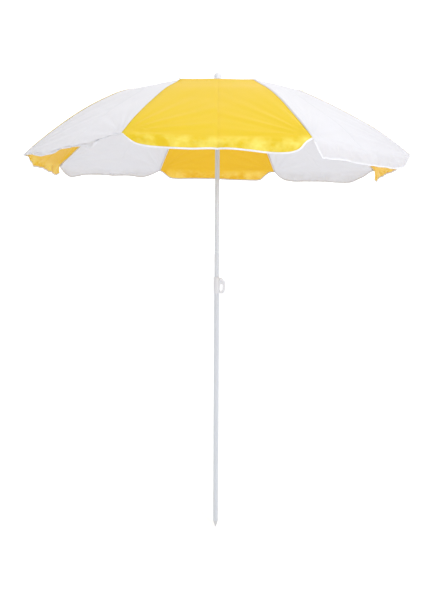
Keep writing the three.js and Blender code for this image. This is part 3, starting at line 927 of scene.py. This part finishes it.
def rivet_mesh():
    """A tubular rivet with a domed head on each side of the fork, along Y."""
    head, body, half = 2.7 * MM, 1.55 * MM, 3.45 * MM
    profile = [(0, -half - 1.1 * MM), (1.2 * MM, -half - 1.0 * MM), (2.3 * MM, -half - 0.55 * MM)]
    profile += [(head, -half), (body, -half + 0.05 * MM)]
    profile += [(r, -z) for r, z in reversed(profile)]
    rivet = lathe("rivet", profile, 24)
    rivet.data.transform(Matrix.Rotation(math.pi / 2, 4, "X"))
    return rivet


def tip_mesh(k):
    """The plastic cap on a rib's end."""
    profile = [
        (0, -12), (2.7, -12), (3.1, -11.2), (3.25, -8.4), (3.0, -8.0), (3.25, -7.6),
        (3.3, 2.4), (2.9, 4.2), (2.0, 5.4), (1.0, 5.9), (0, 6.0),
    ]
    cap = lathe(f"rib_cap_{k}", from_mm(profile), 32)
    x, z, slope = rib_curve([RIB_LENGTH - 4 * MM])
    z = z + rib_rise(k, RIB_LENGTH)
    cap.data.transform(
        Matrix.Translation((x[0], 0, z[0])) @ Matrix.Rotation(math.pi / 2 + slope[0], 4, "Y")
    )
    return cap


def add_ribs():
    parts = {"bar": stretcher_mesh(), "rivet": rivet_mesh()}
    for k in range(1, PANELS + 1):
        azimuth = (k - 0.5) * PANEL_ANGLE
        elbow_z = CROWN_Z - ARM * math.sin(INNER_SLOPE)
        rib = place(rib_mesh(k), azimuth, PIVOT_RADIUS, CROWN_Z)
        finish_piece(rib, f"rib_{k}", MATERIALS["bright_steel"], [f"rib_{k}"])
        cap = place(tip_mesh(k), azimuth, PIVOT_RADIUS, CROWN_Z)
        finish_piece(cap, f"rib_{k}", MATERIALS["grey_plastic"], [f"rib_tip_{k}"])
        bar = copy_of(parts["bar"], f"stretcher_bar_{k}")
        place(bar, azimuth, PIVOT_RADIUS, RUNNER_Z, -INNER_SLOPE)
        rivet = copy_of(parts["rivet"], f"elbow_rivet_{k}")
        place(rivet, azimuth, PIVOT_RADIUS + ELBOW_X, elbow_z)
        for piece in (bar, rivet):
            finish_piece(
                piece,
                f"stretcher_{k}",
                MATERIALS["bright_steel"],
                [f"stretcher_{k}"],
            )
    for part in parts.values():
        bpy.data.objects.remove(part)


# ---------------------------------------------------------------- crown and runner


def slots_for(low, high):
    """Cutters for a hub's eight slots, one for each rib or stretcher."""
    return [
        block(f"slot_{i}", (22 * MM, 0, (low + high) / 2), (20 * MM, SLOT_WIDTH, high - low),
              (i + 0.5) * PANEL_ANGLE - math.pi / 2)
        for i in range(PANELS)
    ]


def shift_up(obj, z):
    obj.data.transform(Matrix.Translation((0, 0, z)))
    return obj


def crown_mesh():
    profile = [
        (11.3, -9), (20.5, -9), (21.8, -8.4), (22.5, -7), (22.5, 4.6), (21.8, 6), (20.5, 6.5), (11.3, 6.5),
    ]
    hub = lathe("crown_hub", from_mm(profile))
    return boolean(hub, "DIFFERENCE", *slots_for(-20 * MM, SLOT_PAST_WIRE))


def runner_mesh():
    profile = [
        (11.3, -45), (13.4, -45), (14.3, -44.6), (14.6, -43.6), (14.6, -41), (13.6, -39.6),
        (13.6, -36.4), (14.4, -35), (13.6, -33.6), (13.6, -30.4), (14.4, -29), (13.6, -27.6),
        (13.6, -24.4), (14.4, -23), (13.6, -21.6), (13.6, -9), (15.2, -6.4), (20.5, -6), (21.8, -5.4),
        (22.5, -4), (22.5, 7.2), (21.8, 8.5), (20.5, 9), (11.3, 9),
    ]
    hub = lathe("runner_hub", from_mm(profile))
    return boolean(hub, "DIFFERENCE", *slots_for(-SLOT_PAST_WIRE, 20 * MM))


def wire_ring(name):
    return lathe(name, circle(PIVOT_RADIUS, 0, WIRE_RADIUS, 12), 96, 60)


def crown_patch():
    """The round cloth patch over the panels' points, with its edge turned under."""
    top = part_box("crown_patch")[1].z
    profile = [
        (11.3, -0.3), (14, -0.5), (19, -1.0), (24, -2.0), (29, -3.3), (35, -4.7), (41, -5.9), (45.5, -6.6),
        (49, -7.0), (50.2, -6.9), (50.4, -6.3), (49, -5.9), (45.8, -5.6), (45.2, -5.9), (41, -5.2),
        (35, -4.0), (29, -2.6), (24, -1.3), (19, -0.4), (14, 0.0), (11.3, 0.1),
    ]
    patch = lathe("crown_patch_cloth", from_mm(profile), 96, 60)
    shift_up(patch, top)
    co = np.array([v.co for v in patch.data.vertices])
    ring = np.hypot(co[:, 0], co[:, 1])
    angle = np.arctan2(co[:, 1], co[:, 0])
    add_uv(patch, "Cloth", np.stack([PATCH_RADIUS - ring + 1.2 * MM, angle * 50 * MM], -1))
    return patch


def finial():
    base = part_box("finial")[1].z - 30.5 * MM
    profile = [
        (0, -26), (9.9, -26), (9.9, 0), (16.4, 0), (17.2, 0.5), (17.5, 1.6), (17.5, 6.5), (17.1, 7.2),
        (17.1, 8.0), (17.5, 8.7), (17.5, 17.5), (17.2, 20.5), (16.3, 23.4), (14.6, 26.0), (12.2, 28.1),
        (9.4, 29.5), (6.2, 30.2), (3.0, 30.45), (0, 30.5),
    ]
    return shift_up(lathe("finial_cap", from_mm(profile)), base)


def add_crown_and_runner():
    white, steel = MATERIALS["white_plastic"], MATERIALS["bright_steel"]
    hub = shift_up(add_bevel(crown_mesh(), 0.35 * MM), CROWN_Z)
    finish_piece(hub, "upper", white, ["crown"])
    ring = shift_up(wire_ring("crown_ring"), CROWN_Z)
    finish_piece(ring, "upper", steel, ["crown_wire"])
    sleeve = shift_up(add_bevel(runner_mesh(), 0.35 * MM), RUNNER_Z)
    finish_piece(sleeve, "runner", white, ["runner"])
    ring = shift_up(wire_ring("runner_ring"), RUNNER_Z)
    finish_piece(ring, "runner", steel, ["runner_wire"])
    finish_piece(finial(), "upper", MATERIALS["pale_plastic"], ["finial"])
    patch = crown_patch()
    finish_piece(patch, "upper", MATERIALS["lined_fabric"], ["crown_patch"])


# ---------------------------------------------------------------- pole


def pole_tube(name, node, outer, inner, lip):
    low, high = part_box(node)
    profile = [
        (inner, low.z), (outer - lip, low.z), (outer, low.z + lip),
        (outer, high.z - lip), (outer - lip, high.z), (inner, high.z),
    ]
    return lathe(name, profile)


def ground_spike():
    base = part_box("ground_spike")[0].z
    profile = [
        (0, 0), (0.9, 0.15), (1.5, 0.9), (11.2, 29.4), (12.0, 31.6), (12.3, 32.6), (12.3, 33.6), (12.0, 34),
        (11.2, 34), (11.2, 72), (9, 74), (0, 74),
    ]
    return shift_up(lathe("spike", from_mm(profile)), base)


def collar_mesh():
    """The clamp collar: a turned shell with two ears that hold the lever between them."""
    low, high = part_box("height_collar")
    base, top = low.z / MM, high.z / MM
    profile = [
        (12.8, base), (13.9, base), (14.5, base + 0.5), (14.6, base + 1.4), (14.6, base + 7),
        (14.1, base + 7.6), (14.1, base + 8.8), (14.6, base + 9.4), (14.6, top - 4.2), (14.2, top - 2),
        (13.2, top - 0.6), (12.2, top), (11.3, top), (11.3, top - 21), (12.8, top - 21),
    ]
    shell = lathe("collar_shell", from_mm(profile))
    x, z = LEVER_X, LEVER_Z
    ear = [(12.6 * MM, z - 12 * MM), (x + 1.5 * MM, z - 6.5 * MM)]
    for i in range(13):
        angle = math.radians(-45 + 135 * i / 12)
        ear.append((x + 5 * MM * math.cos(angle), z + 5 * MM * math.sin(angle)))
    ear.append((12.6 * MM, z + 7 * MM))
    ears = plate("ears", ear, 17.6 * MM)
    bore = lathe("bore", [(0, 1.2), (11.8 * MM, 1.2), (11.8 * MM, 1.3), (0, 1.3)], 48)
    boolean(ears, "DIFFERENCE", bore)
    boolean(shell, "UNION", ears)
    room = block("room", (28.4 * MM, 0, z), (29.3 * MM, 11.6 * MM, 40 * MM))
    pad_room = block("pad_room", (14 * MM, 0, z), (10 * MM, 7.6 * MM, 8.6 * MM))
    pin_hole = cylinder_y("pin_hole", x, z, LEVER_PIN_HOLE, 40 * MM)
    return boolean(shell, "DIFFERENCE", room, pad_room, pin_hole)


def lever_mesh():
    """The clamp lever: a round cam head and a D-shaped grip with a finger hole."""
    x, z = LEVER_X / MM, LEVER_Z / MM
    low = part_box("clamp_lever")[0].z / MM
    grip = rounded(
        [
            (x + 5.5, z + 4), (40, z - 11), (40, low + 9), (31, low), (15.4, low), (15.4, low + 10),
            (26.5, low + 12.5), (29.5, low + 18), (29.5, z - 25.5), (25, z - 24), (x - 5.1, z - 23),
            (x - 6.3, z - 2), (x + 6.2, z + 1.4),
        ],
        3.2,
    )
    body = plate("lever_grip", from_mm(grip), 11 * MM)
    head = cylinder_y("lever_head", LEVER_X, LEVER_Z, 6.4 * MM, 11 * MM, 48)
    boolean(body, "UNION", head)
    hole = cylinder_y("lever_hole", LEVER_X, LEVER_Z, LEVER_PIN_HOLE, 30 * MM)
    return boolean(body, "DIFFERENCE", hole)


def pin_mesh():
    half, head = 9.1 * MM, 2.9 * MM
    profile = [
        (0, -half - 0.9 * MM), (1.6 * MM, -half - 0.8 * MM), (head, -half - 0.2 * MM),
        (head, -half + 0.2 * MM), (2 * MM, -half + 0.2 * MM),
    ]
    profile += [(r, -z) for r, z in reversed(profile)]
    pin = lathe("lever_pin", profile, 32)
    pin.data.transform(Matrix.Translation((LEVER_X, 0, LEVER_Z)) @ Matrix.Rotation(math.pi / 2, 4, "X"))
    return pin


def collar_rivet():
    low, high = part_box("collar_rivet")
    z = (low.z + high.z) / 2
    profile = [
        (0, 0), (1.6, 0), (1.6, 3.5), (3.3, 3.5), (3.4, 3.8), (3.0, 4.5), (2.0, 5.0), (0.9, 5.2), (0, 5.2),
    ]
    rivet = lathe("collar_fixing", from_mm(profile), 32)
    rivet.data.transform(Matrix.Translation((0, low.y, z)) @ Matrix.Rotation(-math.pi / 2, 4, "X"))
    return rivet


def add_pole():
    paint, white = MATERIALS["painted_steel"], MATERIALS["white_plastic"]
    grey, steel = MATERIALS["grey_plastic"], MATERIALS["bright_steel"]
    lower = pole_tube("lower_tube", "lower_pole", LOWER_RADIUS, LOWER_BORE, TUBE_LIP)
    finish_piece(lower, "lower", paint, ["lower_pole"])
    upper = pole_tube("upper_tube", "upper_pole", UPPER_RADIUS, UPPER_BORE, TUBE_LIP)
    finish_piece(upper, "upper", paint, ["upper_pole"])
    finish_piece(ground_spike(), "lower", grey, ["ground_spike"])
    collar = add_bevel(collar_mesh(), 0.4 * MM)
    finish_piece(collar, "lower", white, ["height_collar"])
    lever = add_bevel(lever_mesh(), 1.1 * MM, 3)
    finish_piece(lever, "lever", white, ["clamp_lever"])
    finish_piece(pin_mesh(), "lower", steel, ["clamp_lever_pin"])
    finish_piece(collar_rivet(), "lower", steel, ["collar_rivet"])
    for node, material, slot in (
        ("clamp_pad", grey, "grey_plastic"),
        ("upper_pole_bush", grey, "grey_plastic"),
        ("runner_catch", steel, "bright_steel"),
    ):
        piece = frame["nodes"][node]
        piece.data.materials.clear()
        piece.data.materials.append(material)
        add_bevel(piece, 0.3 * MM)


# ---------------------------------------------------------------- camera, floor and light


def add_camera():
    data = bpy.data.cameras.new("Camera")
    data.lens = CAMERA_LENS
    data.clip_end = 60
    camera = bpy.data.objects.new("Camera", data)
    bpy.context.scene.collection.objects.link(camera)
    camera.matrix_world = (
        Matrix.Translation((0, -CAMERA_DISTANCE, CAMERA_HEIGHT))
        @ Matrix.Rotation(-CAMERA_YAW, 4, "Z")
        @ Matrix.Rotation(math.pi / 2 + CAMERA_PITCH, 4, "X")
        @ Matrix.Rotation(CAMERA_ROLL, 4, "Z")
    )
    bpy.context.scene.camera = camera


def add_floor():
    nodes = new_material("floor_white")
    speckle = nodes.noise(object_space(nodes), 3.0, 3.0)
    nodes.set(
        nodes.shader,
        "Base Color",
        nodes.mix(speckle, (0.93, 0.93, 0.93, 1), (0.92, 0.92, 0.92, 1)),
    )
    nodes.set(nodes.shader, "Roughness", 0.9)
    size = 40
    corners = [(-size, -size, 0), (size, -size, 0), (size, size, 0), (-size, size, 0)]
    floor = make_object("floor", corners, [(0, 1, 2, 3)])
    floor.location.z = -0.5 * MM
    floor.data.materials.append(nodes.owner)


def add_area_light(name, place_at, aim, size, power):
    data = bpy.data.lights.new(name, "AREA")
    data.shape = "DISK"
    data.size = size
    data.energy = power
    light = bpy.data.objects.new(name, data)
    light.location = place_at
    direction = Vector(aim) - Vector(place_at)
    light.rotation_euler = direction.to_track_quat("-Z", "Y").to_euler()
    bpy.context.scene.collection.objects.link(light)


def add_light():
    """A white backdrop, a dimmer room in front of it, a soft key overhead and a low front fill."""
    world = Nodes(bpy.data.worlds.new("studio"))
    direction = world.add("ShaderNodeTexCoord").outputs["Generated"]
    split = world.add("ShaderNodeSeparateXYZ", {0: direction})
    strength = world.span(split.outputs["Y"], ROOM_LIGHT, BACKDROP_LIGHT, -0.35, 0.15)
    world.set(world.shader, "Color", (1, 1, 1, 1))
    world.set(world.shader, "Strength", strength)
    bpy.context.scene.world = world.owner
    bpy.context.scene.view_settings.view_transform = "Standard"
    add_area_light("key", (1.1, -2.0, 4.3), (0.1, -0.4, 1.9), 0.9, 36)
    add_area_light("fill", (1.5, -4.2, 2.2), (0.1, -0.8, 1.8), 0.8, 55)


add_camera()
add_floor()
add_light()
add_canopy()
add_ribs()
add_crown_and_runner()
add_pole()
